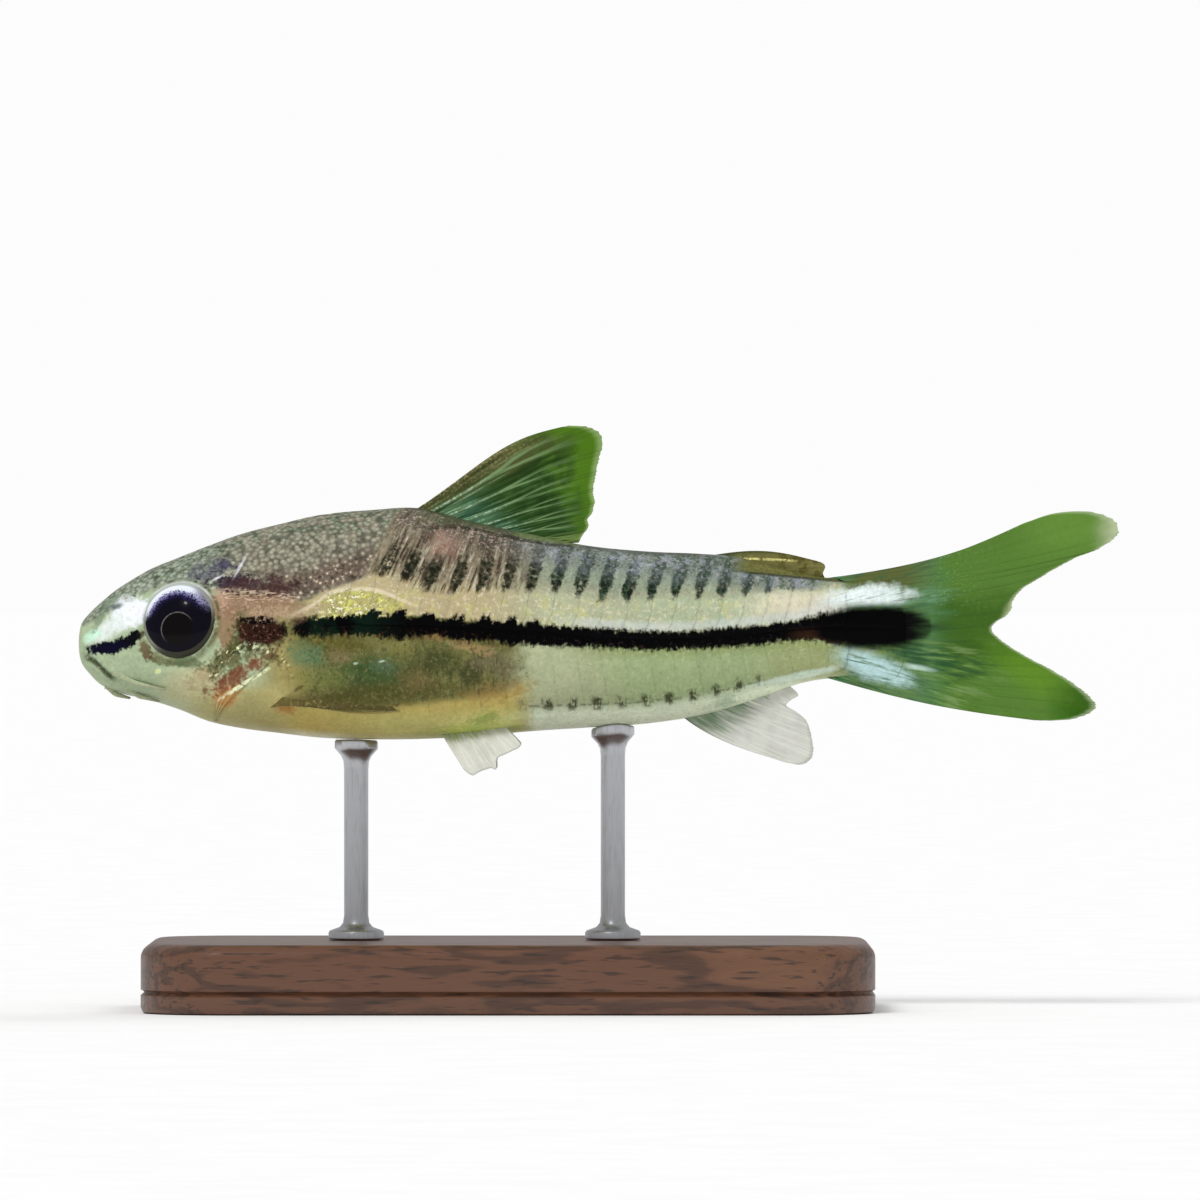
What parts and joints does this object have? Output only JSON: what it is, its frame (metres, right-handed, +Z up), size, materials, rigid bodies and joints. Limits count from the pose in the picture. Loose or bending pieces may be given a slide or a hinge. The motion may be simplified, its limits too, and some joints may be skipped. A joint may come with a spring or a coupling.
{
  "type": "pygmy corydoras",
  "caption": "Still, life-size model of a small armoured catfish swimming level, held up by short steel rods on a flat walnut base.",
  "frame": {"origin": "centre of the whole model's box, at the underside of the stand's base", "axes": "+X from the snout to the tail, +Y to the fish's right side, +Z up"},
  "size_m": [0.03, 0.012, 0.0168],
  "materials": {
    "skin": "wet-looking olive skin over bony plates, with a black side stripe",
    "gill_cover": "smooth, red-brown with gold glints",
    "eye": "clear gloss over a dark iris with a silver rim",
    "barbel": "soft satin",
    "green_fin": "thin translucent green membrane with pale rays",
    "clear_fin": "thin translucent pale grey membrane with pale rays",
    "walnut": "oiled satin",
    "steel": "polished"
  },
  "bodies": {
    "root": {"head": "skin", "trunk": "skin", "tail_stalk": "skin", "gill_cover_left": "gill_cover", "gill_cover_right": "gill_cover", "eye_left": "eye", "eye_right": "eye", "barbel_maxillary_left": "barbel", "barbel_maxillary_right": "barbel", "barbel_rictal_left": "barbel", "barbel_rictal_right": "barbel", "barbel_chin_left": "barbel", "barbel_chin_right": "barbel", "dorsal_fin": "green_fin", "adipose_fin": "green_fin", "tail_fin_upper": "green_fin", "tail_fin_lower": "green_fin", "anal_fin": "clear_fin", "pelvic_fin_left": "clear_fin", "pelvic_fin_right": "clear_fin", "pectoral_fin_left": "clear_fin", "pectoral_fin_right": "clear_fin", "stand_base": "walnut", "stand_rod_front": "steel", "stand_rod_rear": "steel"}
  },
  "joints": []
}
